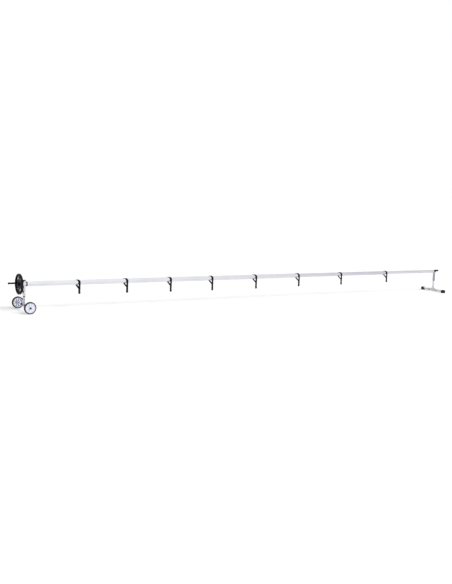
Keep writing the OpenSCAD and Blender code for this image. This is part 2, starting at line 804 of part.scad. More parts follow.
// Clips on the strap tails, a flat plate with a round lower end and a slot for the webbing
module strap_clips(places, drops, tube_d) {
    clip_t = 3 * webbing_t;
    slot_w = web_w + 2 * seat_fit + webbing_t * strap_skew / strap_r(tube_d);
    color(black) for (i = [0 : len(places) - 1])
        translate([post_x + places[i], -strap_r(tube_d), axis_h - drops[i]]) difference() {
            union() {
                translate([0, clip_t / 2, clip_w / 2]) along_y() cylinder(d = clip_w, h = clip_t);
                translate([-clip_w / 2, -clip_t / 2, clip_w / 2])
                    cube([clip_w, clip_t, clip_h - clip_w / 2]);
            }
            translate([-slot_w / 2, -webbing_t - seat_fit, clip_w / 2 - seat_fit])
                cube([slot_w, 2 * (webbing_t + seat_fit), clip_h]);
        }
}

module strap_1() { strap(outer_straps[0], outer_d, strap_drops[0]); }
module strap_2() { strap(outer_straps[1], outer_d, strap_drops[1]); }
module strap_3() { strap(outer_straps[2], outer_d, strap_drops[2]); }
module strap_4() { strap(outer_straps[3], outer_d, strap_drops[3]); }
module strap_5() { strap(outer_straps[4], outer_d, strap_drops[4]); }
module strap_6() { strap(outer_straps[5], outer_d, strap_drops[5]); }
module strap_7() { strap(middle_straps[0], middle_d, strap_drops[6]); }
module strap_8() { strap(middle_straps[1], middle_d, strap_drops[7]); }
module outer_strap_pads() { strap_pads(outer_straps, outer_d); }
module middle_strap_pads() { strap_pads(middle_straps, middle_d); }
module outer_strap_clips() { strap_clips(outer_straps, [for (i = [0 : 5]) strap_drops[i]], outer_d); }
module middle_strap_clips() { strap_clips(middle_straps, [for (i = [6 : 7]) strap_drops[i]], middle_d); }

// ---- Foot stand ----

module foot_plug() {
    color(nylon) translate([post_x + tube_end, 0, axis_h]) difference() {
        union() {
            translate([seat_fit - plug_lip, 0, 0])
                along_x() cylinder(d1 = inner_d, d2 = inner_d - 2, h = plug_lip - seat_fit);
            translate([-plug_lip - plug_len, 0, 0])
                along_x() cylinder(d = inner_bore - 2 * seat_fit, h = plug_len + 1);
        }
        translate([-2 * plug_len, 0, 0]) along_x() cylinder(d = shaft_d + 2 * seat_fit, h = 3 * plug_len);
        translate([-plug_lip - plug_len / 2, 0, 0]) screw_holes(inner_d);
    }
}

module foot_plug_screws() {
    color(zinc) translate([post_x + tube_end - plug_lip - plug_len / 2, 0, axis_h])
        radial_screws(inner_d, inner_d / 2 - 2);
}

module foot_shaft() {
    start = tube_end - plug_lip - plug_len + 4;
    end = span - housing_len / 2 + foot_shaft_in;
    color(zinc) translate([post_x, 0, axis_h]) difference() {
        union() {
            translate([start, 0, 0]) along_x() cylinder(d = shaft_d, h = end - start);
            translate([tube_end + seat_fit, 0, 0])
                along_x() cylinder(d = shaft_d + 9, h = foot_collar_l - seat_fit);
        }
        translate([tube_end - plug_lip - plug_len / 2, 0, 0]) screw_holes(inner_d);
        // Groove for the retaining ring
        translate([span - housing_len / 2 + foot_barrel_l + end_play, 0, 0])
            along_x() tube(shaft_d + 4, shaft_d - 2.4, ring_t + 2 * seat_fit);
    }
}

module foot_shaft_ring() {
    color(zinc) translate([foot_x - housing_len / 2 + foot_barrel_l + end_play + seat_fit, 0, axis_h])
        along_x() tube(shaft_d + 5, shaft_d - 2.4 + 2 * seat_fit, ring_t);
}

module foot_shaft_bush() {
    color(black) translate([foot_x - housing_len / 2, 0, axis_h])
        shaft_bush(shaft_d + 2 * run_fit, foot_bush_d - 2 * seat_fit, foot_barrel_l, foot_housing_d + 2);
}

// The foot post's sleeve, its open top notched on both sides for what lies in the cap's bore
module foot_post_sleeve() {
    color(light_grey) translate([foot_x, 0, 0]) difference() {
        translate([0, 0, sleeve_z]) tube(sleeve_d, sleeve_bore, axis_h - foot_under - sleeve_z);
        translate([-housing_len, 0, axis_h])
            along_x() cylinder(d = foot_bush_d + 2 * slide_fit, h = 2 * housing_len);
        sleeve_bolt_holes();
    }
}

// A moulded cap in the top of the foot post's sleeve, bored across for the shaft's bush
module foot_post_cap() {
    wall = 3;
    pocket_h = foot_under + foot_cap_in - foot_bush_d / 2 - wall;
    plug_d = sleeve_bore - 2 * seat_fit;
    color(black) translate([foot_x, 0, axis_h]) difference() {
        union() {
            difference() {
                translate([-housing_len / 2, 0, 0]) along_x() cylinder(d = foot_housing_d, h = housing_len);
                translate([-housing_len, -foot_housing_d, -foot_housing_d - foot_under + seat_fit])
                    cube([2 * housing_len, 2 * foot_housing_d, foot_housing_d]);
            }
            translate([0, 0, -foot_under - foot_cap_in]) cylinder(d = plug_d, h = foot_cap_in + 1);
        }
        translate([-housing_len, 0, 0]) along_x() cylinder(d = foot_bush_d, h = 2 * housing_len);
        translate([0, 0, -foot_under - foot_cap_in - 1])
            cylinder(d = plug_d - 2 * wall, h = pocket_h + 1);
    }
}

module foot_post_bush() { color(black) translate([foot_x, 0, 0]) sleeve_bush(); }
module foot_post_bolts() { color(zinc) translate([foot_x, 0, 0]) sleeve_bolts(); }

// Holes or bolts run down through the cross sleeve and the foot bar
module bar_bolt_places() {
    for (side = [-1, 1]) translate([foot_x, side * bar_bolt_y, foot_bar_z]) children();
}

module foot_tee() {
    rise = post_top - foot_bar_z;
    color(zinc) difference() {
        union() {
            translate([foot_x, 0, foot_bar_z]) cylinder(d = post_d, h = rise);
            translate([foot_x, tee_len / 2, foot_bar_z]) along_y() cylinder(d = tee_d, h = tee_len);
            for (side = [-1, 1]) translate([foot_x, 0, foot_bar_z])
                tee_gusset(side, post_d / 2, tee_d / 2, gusset_l, gusset_h);
        }
        translate([foot_x, 0, foot_bar_z + tee_d / 2 + 2]) cylinder(d = post_d - 2 * post_wall, h = rise);
        translate([foot_x, tee_len, foot_bar_z]) along_y() cylinder(d = tee_bore, h = 2 * tee_len);
        translate([foot_x, 0, 0]) sleeve_bolt_holes();
        bar_bolt_places() along_x() cylinder(d = bar_bolt_d + 2 * seat_fit, h = 2 * tee_d, center = true);
    }
}

module foot_bar() {
    half = foot_w / 2 + shoe_l / 2 - shoe_end;
    color(bright) difference() {
        translate([foot_x, half, foot_bar_z]) along_y() tube(foot_bar_d, foot_bar_d - 4, 2 * half);
        bar_bolt_places() along_x() cylinder(d = bar_bolt_d + 2 * seat_fit, h = 2 * tee_d, center = true);
    }
}

module foot_bar_bolts() {
    color(zinc) bar_bolt_places() rotate(-90) translate([0, -tee_d / 2, 0]) through_bolt(bar_bolt_d, tee_d);
}

// Outline of a shoe with its upper corners rounded, drawn smaller by inset on all sides but the sole
module shoe_outline(inset) {
    half = shoe_w / 2 - inset;
    top = shoe_h - inset;
    corner = top - shoe_round;
    translate([-half, 2]) square([2 * half, corner - 2]);
    translate([shoe_round - half, corner - 1]) square([2 * (half - shoe_round), shoe_round + 1]);
    for (side = [-1, 1]) translate([side * (half - shoe_round), corner]) circle(r = shoe_round);
    translate([2 - half, 0]) square([2 * half - 4, 3]);
}

// A moulded shoe over an end of the foot bar, its outer end a little smaller than the rest
module shoe_form(side) {
    end_t = 3;
    scale([1, side, 1]) translate([foot_x, foot_w / 2 + shoe_l / 2, 0]) along_y() difference() {
        union() {
            linear_extrude(end_t + 1) shoe_outline(1.5);
            translate([0, 0, end_t]) linear_extrude(shoe_l - end_t) shoe_outline(0);
        }
        translate([0, foot_bar_z, shoe_end]) cylinder(d = foot_bar_d + 2 * seat_fit, h = shoe_l);
    }
}

module rear_shoe() { color(black) shoe_form(1); }
module front_shoe() { color(black) shoe_form(-1); }

module lift_rod() {
    plate_x = foot_x + housing_len / 2;
    color(black) translate([plate_x, 0, axis_h]) {
        translate([seat_fit, 0, 0])
            along_x() cylinder(d1 = foot_housing_d, d2 = foot_housing_d - 2, h = plug_lip - seat_fit);
        translate([-10, 0, 0]) along_x() cylinder(d = foot_bush_d - 2 * seat_fit, h = 11);
        translate([1, 0, lift_up]) along_x() cylinder(d = lift_rod_d, h = plug_lip + lift_len - 7);
    }
}

module lift_grip() {
    rings = 6;
    ring_step = (lift_len - 26) / (rings - 1);
    start = foot_x + housing_len / 2 + plug_lip + seat_fit;
    color(black) translate([start, 0, axis_h + lift_up]) along_x() difference() {
        rotate_extrude() {
            cap_profile(lift_d / 2, lift_len - seat_fit, 5);
            square([lift_d / 2 + 3, 4]);
            for (i = [0 : rings - 1]) translate([0, 12 + i * ring_step]) square([lift_d / 2 + 0.8, 3]);
        }
        translate([0, 0, -1]) cylinder(d = lift_rod_d + 2 * seat_fit, h = lift_len - 5 + seat_fit);
    }
}

post_sleeve();
post_lower();
post_bush();
post_cap();
post_bolts();
shaft_bushes();
axle_tube();
axle_rod();
axle_tube_caps();
axle_caps();
front_wheel_hub();
front_wheel_tyre();
front_wheel_bush();
rear_wheel_hub();
rear_wheel_tyre();
rear_wheel_bush();
handwheel();
handwheel_cap();
handwheel_nut();
drive_shaft();
drive_collar();
drive_plug();
drive_screws();
crank_bolt();
crank_grip();
outer_tube();
outer_tube_bush();
middle_tube();
middle_guide_ring();
middle_tube_bush();
inner_tube();
inner_guide_ring();
strap_1();
strap_2();
strap_3();
strap_4();
strap_5();
strap_6();
strap_7();
strap_8();
outer_strap_pads();
middle_strap_pads();
outer_strap_clips();
middle_strap_clips();
foot_plug();
foot_plug_screws();
foot_shaft();
foot_shaft_ring();
foot_shaft_bush();
foot_post_sleeve();
foot_post_bush();
foot_post_cap();
foot_post_bolts();
foot_tee();
foot_bar();
foot_bar_bolts();
rear_shoe();
front_shoe();
lift_rod();
lift_grip();
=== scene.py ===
# %% [markdown]
# # A telescopic roller for a pool cover
#
# The object is a long aluminium roller on two stands. A solar cover hangs from its straps, and the
# handwheel winds it up. The tubes, posts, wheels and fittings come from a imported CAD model, which is
# loaded here as a fixed frame. This script adds what CAD leaves out: the finish of each material,
# webbing that looks woven and sewn, welds, the light and the camera.
#
# Lengths are in metres. +X runs along the roller from the handwheel to the foot stand, and +Z is up.

# %% Load the model
import json
import math

import bmesh
import bpy
from mathutils import Matrix, Quaternion, Vector


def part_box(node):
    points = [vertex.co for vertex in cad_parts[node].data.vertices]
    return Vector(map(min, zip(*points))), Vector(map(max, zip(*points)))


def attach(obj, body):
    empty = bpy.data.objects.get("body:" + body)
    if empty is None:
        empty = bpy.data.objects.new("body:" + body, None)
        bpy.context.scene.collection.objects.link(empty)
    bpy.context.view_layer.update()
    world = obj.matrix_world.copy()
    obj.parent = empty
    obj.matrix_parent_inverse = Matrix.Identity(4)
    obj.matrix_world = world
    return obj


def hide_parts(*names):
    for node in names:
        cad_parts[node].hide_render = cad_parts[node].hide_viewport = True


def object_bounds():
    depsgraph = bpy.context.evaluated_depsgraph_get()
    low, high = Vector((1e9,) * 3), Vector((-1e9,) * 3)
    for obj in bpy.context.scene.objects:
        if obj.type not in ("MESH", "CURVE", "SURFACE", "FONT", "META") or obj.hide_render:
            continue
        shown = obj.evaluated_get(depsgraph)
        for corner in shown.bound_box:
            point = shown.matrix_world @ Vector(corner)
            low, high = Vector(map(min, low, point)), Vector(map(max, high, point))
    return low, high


MM = 0.001
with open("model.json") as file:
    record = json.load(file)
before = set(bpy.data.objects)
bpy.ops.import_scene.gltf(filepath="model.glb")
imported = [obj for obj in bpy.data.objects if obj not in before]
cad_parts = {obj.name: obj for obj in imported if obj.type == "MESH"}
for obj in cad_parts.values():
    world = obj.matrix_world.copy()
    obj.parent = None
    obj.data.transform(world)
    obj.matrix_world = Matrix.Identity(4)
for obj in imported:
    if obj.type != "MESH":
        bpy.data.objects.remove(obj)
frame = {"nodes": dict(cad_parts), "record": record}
cad_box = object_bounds()
corners = ([round(value, 3) for value in corner] for corner in cad_box)
print(len(frame["nodes"]), "CAD nodes, from", next(corners), "to", next(corners))

# %% [markdown]
# ## Places to work from
#
# New pieces have to fit the CAD ones, so their places are read from the nodes' boxes and not typed in.
# Typed numbers would also work, but they would be wrong as soon as someone changed the CAD model.

# %% Find the axis and the two posts
def middle(node):
    """The centre of a CAD node's box."""
    low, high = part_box(node)
    return (low + high) / 2


def extent(node):
    """The size of a CAD node's box along X, Y and Z."""
    low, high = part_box(node)
    return high - low


AXIS_Z = middle("outer_tube").z
POST_X = middle("post_sleeve").x
FOOT_X = middle("foot_post_sleeve").x
print(f"axis {AXIS_Z / MM:.0f} mm high, posts {(FOOT_X - POST_X) / MM:.0f} mm apart")

# %% [markdown]
# ## The camera
#
# The roller is over eight metres long, so the view along it decides how it looks: the camera stands
# to the left of the handwheel, a little above head height, and looks along the roller. From eleven
# metres away, the far stand doesn't shrink too much. The small roll and shift place the roller in the
# frame. The shift slides the picture without turning the camera, as on a view camera.

# %% Place the camera
def place_camera(place, yaw, pitch, roll, lens, shift):
    """Adds the scene's camera. Yaw turns from +Y towards +X, pitch looks down, roll leans to the left."""
    data = bpy.data.cameras.new("camera")
    data.lens = lens
    data.shift_y = shift
    data.clip_start, data.clip_end = 0.1, 200
    camera = bpy.data.objects.new("camera", data)
    bpy.context.scene.collection.objects.link(camera)
    ahead = Vector((math.sin(yaw) * math.cos(pitch), math.cos(yaw) * math.cos(pitch), -math.sin(pitch)))
    camera.location = place
    camera.rotation_mode = "QUATERNION"
    camera.rotation_quaternion = ahead.to_track_quat("-Z", "Y") @ Quaternion((0, 0, 1), roll)
    bpy.context.scene.camera = camera
    return camera


place_camera(
    Vector((POST_X - 3.561, -10.981, 1.904)),
    math.radians(31.87), math.radians(5.74), math.radians(2.38),
    lens=50.43, shift=-0.0485,
)

# %% [markdown]
# ## Nodes without repetition
#
# Every finish below is a small tree of shader nodes. Adding a node takes four steps: make it, set its
# options, fill its sockets and link it. One helper does all four, so that a finish reads like a
# recipe. Colours are written as sRGB hex values, as a paint chart gives them, and one function turns
# them into the linear values that the renderer works with.

# %% Helpers for materials
def linear(hex_colour):
    """The linear RGBA of an sRGB hex colour such as "c0c4c8"."""
    parts = [int(hex_colour[i:i + 2], 16) / 255 for i in (0, 2, 4)]
    return (*[c / 12.92 if c <= 0.04045 else ((c + 0.055) / 1.055) ** 2.4 for c in parts], 1)


def node(tree, kind, sockets=None, **options):
    """Adds a node. sockets gives an input a value, or another node's output to link it to."""
    added = tree.nodes.new(kind)
    for name, value in options.items():
        setattr(added, name, value)
    for name, value in (sockets or {}).items():
        if isinstance(value, bpy.types.NodeSocket):
            tree.links.new(value, added.inputs[name])
        else:
            added.inputs[name].default_value = value
    return added


def new_finish(name, **sockets):
    """A material with one Principled shader, its sockets set. Returns material, tree and shader."""
    material = bpy.data.materials.new(name)
    material.use_nodes = True
    tree = material.node_tree
    tree.nodes.clear()
    shader = node(tree, "ShaderNodeBsdfPrincipled", {k.replace("_", " "): v for k, v in sockets.items()})
    output = node(tree, "ShaderNodeOutputMaterial", {"Surface": shader.outputs["BSDF"]})
    output.is_active_output = True
    return material, tree, shader


# %% [markdown]
# ## One recipe for a made surface
#
# Metal, paint, plastic and rubber differ in colour, gloss and texture, but each of them varies in the
# same two ways. A slow cloud, centimetres wide, drifts between two close colours: uneven plating, a
# paint's thickness, hand marks. A fine grain, about a millimetre or less, changes the roughness and
# raises the surface a little: die lines, orange peel, the matt texture of a mould. Both are noise on
# the piece's own coordinates, stretched where the process leaves lines. The noise mostly stays
# between 0.3 and 0.7, so those are the ends that get mapped.

# %% The recipe
def made_surface(name, colours, cloud, roughness, grain, relief, cloud_stretch=(1, 1, 1),
                 grain_stretch=(1, 1, 1), **sockets):
    """A finish between two colours and two roughnesses. cloud, grain and relief are sizes in metres."""
    material, tree, shader = new_finish(name, **sockets)
    place = node(tree, "ShaderNodeTexCoord").outputs["Object"]

    def noise(size, stretch, detail):
        stretched = node(tree, "ShaderNodeMapping", {"Vector": place, "Scale": stretch}).outputs["Vector"]
        return node(tree, "ShaderNodeTexNoise", {
            "Vector": stretched, "Scale": 1 / size, "Detail": detail,
        }).outputs["Fac"]

    drift, fine = noise(cloud, cloud_stretch, 5.0), noise(grain, grain_stretch, 2.0)
    share = node(tree, "ShaderNodeMapRange", {"Value": drift, "From Min": 0.3, "From Max": 0.7})
    # On a Mix node for colours, input 0 is the factor, 6 and 7 are the colours, and output 2 the result
    colour = node(tree, "ShaderNodeMix", {
        0: share.outputs["Result"], 6: linear(colours[0]), 7: linear(colours[1]),
    }, data_type="RGBA")
    gloss = node(tree, "ShaderNodeMapRange", {
        "Value": fine, "From Min": 0.3, "From Max": 0.7, "To Min": roughness[0], "To Max": roughness[1],
    })
    raised = node(tree, "ShaderNodeBump", {"Height": fine, "Distance": relief, "Strength": 0.6})
    tree.links.new(colour.outputs[2], shader.inputs["Base Color"])
    tree.links.new(gloss.outputs["Result"], shader.inputs["Roughness"])
    tree.links.new(raised.outputs["Normal"], shader.inputs["Normal"])
    return material


# %% [markdown]
# ## Bright anodised aluminium
#
# The tubes, the foot bar and the posts' sleeves are extruded aluminium with a clear anodised coat.
# Extrusion leaves fine die lines along the length, and the coat makes them soft and silvery. The
# shader's Anisotropic socket would smear highlights across the lines too, but it needs tangents, so a
# grain that is stretched along the tube does that work here. Real die lines are about 0.1 mm apart,
# too fine to show, and are drawn about 3 mm apart. The cloud is stretched as well, since an extrusion
# changes more around its section than along it. The middle tube is drawn greyer, and the foot stand's
# sleeve greyer still: both are painted shade, darker copies of the same anodised finishes that stand
# in for the shading along the roller's middle and on the far post. Sleeves stand upright, so their
# lines run along Z.

# %% Make the tube finishes
ALONG_X = (0.004, 1, 1)
ALONG_Z = (1, 1, 0.004)
tube_anodised, middle_tube_painted_shade, sleeve_anodised, foot_sleeve_painted_shade = (
    made_surface(
        name, colours, cloud=0.28, roughness=roughness, grain=3.3 * MM, relief=0.02 * MM,
        cloud_stretch=cloud_stretch, grain_stretch=grain_stretch, Metallic=1.0,
    )
    for name, colours, roughness, cloud_stretch, grain_stretch in (
        ("bright anodised aluminium", ("eeeff5", "f8f9fd"), (0.27, 0.39), (0.6, 2, 2), ALONG_X),
        # Painted shade: this copy is the bright tube finish made greyer, for the shading along the
        # roller's middle
        ("anodised aluminium greyed as painted shade", ("e4e4ec", "eeeef6"), (0.27, 0.39), (0.6, 2, 2), ALONG_X),
        ("satin anodised aluminium", ("e6e8ec", "f2f3f5"), (0.22, 0.32), (2, 2, 0.6), ALONG_Z),
        # Painted shade: this copy is the satin sleeve finish made darker, for the shaded far post
        ("anodised aluminium darkened as painted shade", ("b4b7bc", "c4c7cb"), (0.22, 0.32), (2, 2, 0.6), ALONG_Z),
    )
)

# %% [markdown]
# ## Steel: painted, zinc plated and turned
#
# The axle tube is steel with a black powder coat. Powder melts into a fine orange peel, about 1 mm
# from bump to bump, with a satin sheen. The lower posts and all bolts are zinc plated: bright but
# cloudy, with a soft sheen. The foot tee has a pale silver paint, whose metal flakes shine a little.
# The shafts are turned bar, with feed marks round them. Feed marks are about 0.2 mm apart and are
# drawn at 0.4 mm.

# %% Make the steel finishes
ROUND_X = (1, 0.01, 0.01)
black_paint = made_surface(
    "black powder coat", ("141517", "1c1d20"), cloud=70 * MM, roughness=(0.38, 0.48),
    grain=1.1 * MM, relief=0.03 * MM, IOR=1.5, Specular_IOR_Level=0.25,
)
post_zinc = made_surface(
    "zinc plated steel tube", ("c6c9cf", "dcdfe4"), cloud=45 * MM, roughness=(0.32, 0.48),
    grain=0.7 * MM, relief=0.01 * MM, Metallic=1.0,
)
silver_paint = made_surface(
    "pale silver paint", ("eeeff2", "f7f8fa"), cloud=70 * MM, roughness=(0.36, 0.48),
    grain=1.1 * MM, relief=0.02 * MM, IOR=1.5, Metallic=0.5,
)
bolt_zinc = made_surface(
    "zinc plated fasteners", ("a8acb2", "cfd2d6"), cloud=11 * MM, roughness=(0.24, 0.38),
    grain=0.7 * MM, relief=0.01 * MM, Metallic=1.0,
)
shaft_steel = made_surface(
    "turned steel bar", ("a3a6ab", "bfc2c6"), cloud=25 * MM, roughness=(0.24, 0.38),
    grain=0.4 * MM, relief=0.01 * MM, grain_stretch=ROUND_X, Metallic=1.0,
)

# %% [markdown]
# ## Plastics and rubber
#
# The handwheel, the caps and the bushes are moulded in black glass filled nylon. Its mould was spark
# eroded, which leaves a fine matt grain, here 0.8 mm. The tube plugs are plain white nylon. The
# ground wheels are a milky polypropylene, slightly blue, which lets a little light in, so they have
# some subsurface light. The tyres are a dark grey rubber compound, and the grips, pads and shoes a
# softer black rubber. Rubber is rougher than nylon and has a coarser grain. The shoes and the lift
# grip are a worn, greyer rubber. A mould's grain also breaks up the mirror of the studio, so the
# black pieces get less specular light than bare plastic.

# %% Make the plastic and rubber finishes
black_nylon = made_surface(
    "black glass filled nylon", ("0f1011", "17181a"), cloud=55 * MM, roughness=(0.40, 0.52),
    grain=0.8 * MM, relief=0.03 * MM, IOR=1.5, Specular_IOR_Level=0.2,
)
white_nylon = made_surface(
    "white nylon", ("e8eaf1", "f2f3f8"), cloud=55 * MM, roughness=(0.31, 0.43),
    grain=1.0 * MM, relief=0.01 * MM, IOR=1.53,
)
wheel_plastic = made_surface(
    "milky polypropylene", ("dadff0", "e8ebf8"), cloud=55 * MM, roughness=(0.29, 0.41),
    grain=1.2 * MM, relief=0.01 * MM, IOR=1.49, Subsurface_Weight=0.15, Subsurface_Scale=4 * MM,
)
tyre_rubber = made_surface(
    "dark grey tyre rubber", ("363942", "444751"), cloud=55 * MM, roughness=(0.57, 0.69),
    grain=1.5 * MM, relief=0.05 * MM, IOR=1.52, Specular_IOR_Level=0.25,
)
grip_rubber, shoe_rubber = (
    made_surface(
        name, colours, cloud=55 * MM, roughness=(0.55, 0.67), grain=1.0 * MM, relief=0.05 * MM,
        IOR=1.52, Specular_IOR_Level=0.2,
    )
    for name, colours in (
        ("black grip rubber", ("0e0e10", "161618")),
        ("worn shoe rubber", ("26272a", "313236")),
    )
)

# %% [markdown]
# ## Woven webbing
#
# The straps are black polypropylene webbing. Its ribs run across the band about 1.4 mm apart, and the
# yarns run along it, 1.6 mm apart. The pattern has to bend with the strap, so it reads the strap's own
# UV map, where U runs across and V along the band, both in metres. A Wave texture makes 1 wave in
# pi / 10 of its scaled coordinate, which is where the factor below comes from.

# %% Make the webbing
def woven(name, colours, rib, yarn):
    """Webbing with ribs across the band and yarns along it. rib and yarn are their spacings in metres."""
    material, tree, shader = new_finish(
        name, Roughness=0.8, IOR=1.49, Sheen_Weight=0.08, Sheen_Roughness=0.5, Specular_IOR_Level=0.2,
    )
    band = node(tree, "ShaderNodeUVMap", uv_map="band").outputs["UV"]
    ribs, yarns = (
        node(tree, "ShaderNodeTexWave", {
            "Vector": band, "Scale": math.pi / 10 / spacing, "Distortion": 0.5, "Detail": 1.0,
        }, wave_type="BANDS", bands_direction=direction).outputs["Fac"]
        for spacing, direction in ((rib, "Y"), (yarn, "X"))
    )
    weave = node(tree, "ShaderNodeMath", {0: ribs, 1: yarns}, operation="MULTIPLY").outputs[0]
    colour = node(tree, "ShaderNodeMix", {
        0: weave, 6: linear(colours[0]), 7: linear(colours[1]),
    }, data_type="RGBA")
    raised = node(tree, "ShaderNodeBump", {"Height": weave, "Distance": 0.25 * MM, "Strength": 0.8})
    tree.links.new(colour.outputs[2], shader.inputs["Base Color"])
    tree.links.new(raised.outputs["Normal"], shader.inputs["Normal"])
    return material


webbing = woven("black polypropylene webbing", ("060607", "17181a"), 1.4 * MM, 1.6 * MM)

# %% [markdown]
# ## Dress the CAD nodes
#
# The record that came with the model names a material slot for each node, so one table from slot to
# finish dresses them all. The CAD meshes are loose triangles, which would show as facets on round
# tubes. A Weld modifier joins them, smooth shading rounds them, and an Edge Split modifier keeps the
# real edges crisp. Modifiers leave the mesh itself as it came.

# %% Give each node its finish
finish_of_slot = {
    "bright_aluminium": tube_anodised,
    "satin_aluminium": sleeve_anodised,
    "silver_paint": silver_paint,
    "zinc_steel": post_zinc,
    "steel": shaft_steel,
    "black_paint": black_paint,
    "bolts": bolt_zinc,
    "black_plastic": black_nylon,
    "white_nylon": white_nylon,
    "wheel_plastic": wheel_plastic,
    "tyre": tyre_rubber,
    "black_rubber": grip_rubber,
    "webbing": webbing,
}
finish_of_node = {
    # The middle tube and the foot stand's sleeve get darker copies of their finishes, which are painted
    # shade
    "middle_tube": middle_tube_painted_shade,
    "foot_post_sleeve": foot_sleeve_painted_shade,
    "lift_grip": shoe_rubber,
    "rear_shoe": shoe_rubber,
    "front_shoe": shoe_rubber,
}
EDGE_ANGLE = math.radians(32)
for part in frame["record"]["subparts"]:
    piece = frame["nodes"][part["node"]]
    finish = finish_of_node.get(part["node"], finish_of_slot[part["material_slot"]])
    piece.data.materials.clear()
    piece.data.materials.append(finish)
    piece.data.shade_smooth()
    piece.modifiers.new("weld", "WELD").merge_threshold = 0.002 * MM
    piece.modifiers.new("edges", "EDGE_SPLIT").split_angle = EDGE_ANGLE
print(len(frame["nodes"]), "nodes dressed in", len(finish_of_slot), "finishes")

# %% [markdown]
# ## Straps
#
# Each strap is one length of webbing. It starts at the clip, runs up the front and over a pad on the
# tube, comes back below the tube, and is sewn to its own front run; from there both layers hang
# down together. The loop slants a little along the tube, so that its back is beside the front.
# A flat grid is laid along that path, because its rows then give the UV map the true length, and
# Solidify gives it the thickness of the cloth. Cloth simulation would let it hang too, but a strap
# this narrow and stiff hangs nearly straight, so a slight bow is enough.

# %% Lay a band of webbing along a path
def finish_mesh(bm, name, body, material):
    """Turns a bmesh into a piece that rides on a body."""
    mesh = bpy.data.meshes.new(name)
    bm.to_mesh(mesh)
    bm.free()
    piece = bpy.data.objects.new(name, mesh)
    bpy.context.scene.collection.objects.link(piece)
    mesh.materials.append(material)
    mesh.shade_smooth()
    mesh.set_sharp_from_angle(angle=EDGE_ANGLE)
    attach(piece, body)
    return piece


def strap_path(inner, join, tail, skew, thickness):
    """The band's middle from the axis, as a function of the place along it, and the whole length."""
    radius = inner + thickness / 2
    leave = math.pi + 2 * math.atan(join / inner)
    leave_y, leave_z = radius * math.cos(leave), radius * math.sin(leave)
    run = (leave_y + inner - thickness / 2) / -math.sin(leave)
    front = tail + join
    arc = radius * (3 * math.pi - leave)
    meet_z = leave_z - run * math.cos(leave)
    total = front + arc + run + front + meet_z

    def in_plane(length):
        if length < front:
            return -radius, length - front
        length -= front
        if length < arc:
            angle = math.pi - length / radius
            return radius * math.cos(angle), radius * math.sin(angle)
        length -= arc
        if length < run:
            return leave_y + length * math.sin(leave), leave_z - length * math.cos(leave)
        return thickness / 2 - inner, meet_z - (length - run)

    def at(length):
        # The bend where the back run meets the tail is rounded by averaging over a short length
        near_bend = abs(length - front - arc - run) < 16 * MM
        spread = [step * 2.5 * MM for step in (-3, -2, -1, 0, 1, 2, 3)] if near_bend else [0]
        points = [in_plane(length + step) for step in spread]
        y, z = (sum(part) / len(points) for part in zip(*points))
        return -skew * (y + radius) / (2 * radius) if length > front else 0, y, z

    return at, total


def webbing_band(place_x, path, length, width, bow, join, tail):
    """A bmesh of webbing along a path, with its flat size in the UV map."""
    bm = bmesh.new()
    rows, columns = 170, 6
    bmesh.ops.create_grid(bm, x_segments=columns, y_segments=rows, size=0.5)
    uv = bm.loops.layers.uv.new("band")
    for face in bm.faces:
        for loop in face.loops:
            loop[uv].uv = (loop.vert.co.x * width, (loop.vert.co.y + 0.5) * length)
    for vert in bm.verts:
        across, along = vert.co.x * width, (vert.co.y + 0.5) * length
        x, y, z = path(along)
        hang = min(max((-join - z) / tail, 0), 1)
        sway = bow * math.sin(math.pi * hang) * (1 + across / width)
        vert.co = (place_x + x + across, y + sway, AXIS_Z + z)
    bmesh.ops.recalc_face_normals(bm, faces=bm.faces)
    return bm


# %% [markdown]
# ## Stitching
#
# Where the two runs meet, a sewn box with a cross holds them together. Each stitch is a short thread
# that stands a little out of the webbing and is pulled in at both ends, so it is a small ellipsoid.

# %% Sew a box
STITCH = 3 * MM
THREAD = 0.45 * MM


def sewn_box(centre, width, height):
    """A bmesh of stitches round a box and along its two diagonals, facing -Y."""
    bm = bmesh.new()
    x, z = width / 2, height / 2
    corners = [(-x, -z), (x, -z), (x, z), (-x, z)]
    sides = list(zip(corners, corners[1:] + corners[:1]))
    diagonals = list(zip(corners[:2], corners[2:]))
    for (x0, z0), (x1, z1) in sides + diagonals:
        seam = Vector((x1 - x0, 0, z1 - z0))
        count = round(seam.length / (1.3 * STITCH))
        turn = seam.to_track_quat("X", "Y").to_matrix().to_4x4()
        size = Matrix.Diagonal((STITCH / 2, THREAD, THREAD, 1))
        for step in range(count):
            place = Matrix.Translation(centre + Vector((x0, 0, z0)) + seam * (step + 0.5) / count)
            bmesh.ops.create_icosphere(bm, subdivisions=1, radius=1, matrix=place @ turn @ size)
    return bm


thread = made_surface(
    "black bonded thread", ("1c1c1e", "2a2a2d"), cloud=5 * MM, roughness=(0.4, 0.5), grain=0.5 * MM,
    relief=0.05 * MM, IOR=1.5,
)

